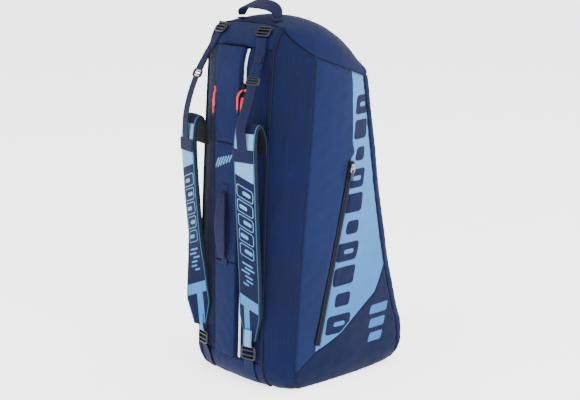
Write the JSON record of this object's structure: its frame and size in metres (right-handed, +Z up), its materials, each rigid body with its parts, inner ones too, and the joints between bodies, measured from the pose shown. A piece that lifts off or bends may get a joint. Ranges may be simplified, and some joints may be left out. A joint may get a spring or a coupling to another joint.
{
  "type": "racket tournament bag",
  "caption": "Tall flared racket bag on its wide base, with padded spine, twin shoulder straps, full-length front zips, zipped side pockets and webbing handles.",
  "frame": {"origin": "centre of the bounding box, on the ground under the base", "axes": "+Z up the height of the bag as it stands on its wide base; the padded spine with the shoulder straps faces -Y, the swelling back faces +Y; the two side pockets face +X and -X"},
  "size_m": [0.328, 0.4144, 0.7807],
  "materials": {
    "outer_cloth": "matte woven twill",
    "base_cloth": "matte coated cloth",
    "side_print": "printed twill, slight sheen",
    "gusset_cloth": "coarse ribbed weave",
    "spine_pad": "padded fine weave",
    "spine_cloth": "fine weave",
    "strap_cloth": "printed face, knitted mesh back",
    "webbing": "ribbed woven webbing",
    "light_webbing": "ribbed woven webbing",
    "piping": "bound cord",
    "zip_tape": "woven zip tape",
    "zip_coil": "satin moulded coil",
    "zip_pull": "moulded matt pull",
    "zip_metal": "satin black",
    "pocket_tape": "woven zip tape and coil",
    "pocket_metal": "satin metal",
    "buckle": "satin moulded",
    "lining": "plain weave lining",
    "foil_lining": "reflective foil cloth",
    "base_board": "matt stiffener board"
  },
  "bodies": {
    "shell": {"back_panel": "outer_cloth", "base_board": "base_board", "base_panel": "base_cloth", "centre_divider": "lining", "spine_heel": "spine_cloth", "spine_lower_panel": "spine_pad", "spine_middle_panel": "spine_pad", "spine_upper_panel": "spine_pad", "spine_yoke": "spine_cloth", "top_cap": "outer_cloth", "left_foil_lining": "foil_lining", "left_gusset": "gusset_cloth", "left_handle_anchor": "webbing", "left_high_buckle": "buckle", "left_lifter_upper": "webbing", "left_lower_webbing": "light_webbing", "left_mouth_flap": "spine_cloth", "left_piping": "piping", "left_pocket_lining": "lining", "left_pocket_zip": "pocket_tape", "left_side_panel": "side_print", "left_tri_glide": "buckle", "left_zip_coil": "zip_coil", "left_zip_tape": "zip_tape", "right_foil_lining": "foil_lining", "right_gusset": "gusset_cloth", "right_handle_anchor": "webbing", "right_high_buckle": "buckle", "right_lifter_upper": "webbing", "right_lower_webbing": "light_webbing", "right_mouth_flap": "spine_cloth", "right_piping": "piping", "right_pocket_lining": "lining", "right_pocket_zip": "pocket_tape", "right_side_panel": "side_print", "right_tri_glide": "buckle", "right_zip_coil": "zip_coil", "right_zip_tape": "zip_tape"},
    "top_handle": {"top_handle": "webbing"},
    "grip_handle": {"grip_handle": "webbing"},
    "right_strap": {"right_strap_pad": "strap_cloth", "right_strap_band": "webbing", "right_lifter_lower": "webbing"},
    "right_low_buckle": {"right_low_buckle": "buckle"},
    "right_lower_slider": {"right_lower_slider": "zip_metal"},
    "right_lower_pull": {"right_lower_pull": "zip_pull"},
    "right_upper_slider": {"right_upper_slider": "zip_metal"},
    "right_upper_pull": {"right_upper_pull": "zip_pull"},
    "right_pocket_slider": {"right_pocket_slider": "pocket_metal"},
    "right_pocket_pull": {"right_pocket_pull": "pocket_metal"},
    "left_strap": {"left_strap_pad": "strap_cloth", "left_strap_band": "webbing", "left_lifter_lower": "webbing"},
    "left_low_buckle": {"left_low_buckle": "buckle"},
    "left_lower_slider": {"left_lower_slider": "zip_metal"},
    "left_lower_pull": {"left_lower_pull": "zip_pull"},
    "left_upper_slider": {"left_upper_slider": "zip_metal"},
    "left_upper_pull": {"left_upper_pull": "zip_pull"},
    "left_pocket_slider": {"left_pocket_slider": "pocket_metal"},
    "left_pocket_pull": {"left_pocket_pull": "pocket_metal"}
  },
  "joints": [
    {"name": "top_handle_swing", "type": "hinge", "parent": "shell", "child": "top_handle", "pos_m": [0, -0.07865, 0.7535], "axis": [1, 0, 0], "range_deg": [-25, 25]},
    {"name": "grip_handle_swing", "type": "hinge", "parent": "shell", "child": "grip_handle", "pos_m": [0, -0.17671, 0.334], "axis": [0, 0.0262, 0.9997], "range_deg": [-20, 20]},
    {"name": "right_strap_swing", "type": "hinge", "parent": "shell", "child": "right_strap", "pos_m": [0.088, -0.16165, 0.492], "axis": [-0.9848, -0.1736, 0], "range_deg": [0, 10], "deforming": ["right_lifter_lower"]},
    {"name": "right_low_buckle_tilt", "type": "hinge", "parent": "right_strap", "child": "right_low_buckle", "pos_m": [0.0755, -0.17465, 0.091], "axis": [-0.9848, -0.1736, 0], "range_deg": [0, 20]},
    {"name": "right_lower_slider_travel", "type": "slide", "parent": "shell", "child": "right_lower_slider", "axis": [0.0133, 0.0262, 0.9996], "range_m": [-0.53, 0]},
    {"name": "right_lower_pull_lift", "type": "hinge", "parent": "right_lower_slider", "child": "right_lower_pull", "pos_m": [0.04389, -0.16093, 0.60613], "axis": [-1, 0, 0], "range_deg": [0, 60]},
    {"name": "right_upper_slider_travel", "type": "slide", "parent": "shell", "child": "right_upper_slider", "axis": [0.0133, 0.0262, 0.9996], "range_m": [0, 0.035]},
    {"name": "right_upper_pull_lift", "type": "hinge", "parent": "right_upper_slider", "child": "right_upper_pull", "pos_m": [0.04409, -0.16054, 0.62113], "axis": [-1, 0, 0], "range_deg": [0, 90]},
    {"name": "right_pocket_slider_travel", "type": "slide", "parent": "shell", "child": "right_pocket_slider", "axis": [-0.0104, 0.2541, 0.9671], "range_m": [-0.355, 0]},
    {"name": "right_pocket_pull_lift", "type": "hinge", "parent": "right_pocket_slider", "child": "right_pocket_pull", "pos_m": [0.16204, 0.03331, 0.45043], "axis": [0, -0.9672, 0.2541], "range_deg": [0, 100]},
    {"name": "left_strap_swing", "type": "hinge", "parent": "shell", "child": "left_strap", "pos_m": [-0.088, -0.16165, 0.492], "axis": [-0.9848, 0.1736, 0], "range_deg": [0, 10], "deforming": ["left_lifter_lower"]},
    {"name": "left_low_buckle_tilt", "type": "hinge", "parent": "left_strap", "child": "left_low_buckle", "pos_m": [-0.0755, -0.17465, 0.091], "axis": [-0.9848, 0.1736, 0], "range_deg": [0, 20]},
    {"name": "left_lower_slider_travel", "type": "slide", "parent": "shell", "child": "left_lower_slider", "axis": [-0.0133, 0.0262, 0.9996], "range_m": [-0.53, 0]},
    {"name": "left_lower_pull_lift", "type": "hinge", "parent": "left_lower_slider", "child": "left_lower_pull", "pos_m": [-0.04389, -0.16093, 0.60613], "axis": [-1, 0, 0], "range_deg": [0, 60]},
    {"name": "left_upper_slider_travel", "type": "slide", "parent": "shell", "child": "left_upper_slider", "axis": [-0.0133, 0.0262, 0.9996], "range_m": [0, 0.035]},
    {"name": "left_upper_pull_lift", "type": "hinge", "parent": "left_upper_slider", "child": "left_upper_pull", "pos_m": [-0.04409, -0.16054, 0.62113], "axis": [-1, 0, 0], "range_deg": [0, 90]},
    {"name": "left_pocket_slider_travel", "type": "slide", "parent": "shell", "child": "left_pocket_slider", "axis": [0.0104, 0.2541, 0.9671], "range_m": [-0.355, 0]},
    {"name": "left_pocket_pull_lift", "type": "hinge", "parent": "left_pocket_slider", "child": "left_pocket_pull", "pos_m": [-0.16204, 0.03331, 0.45043], "axis": [0, 0.9672, -0.2541], "range_deg": [0, 100]}
  ]
}
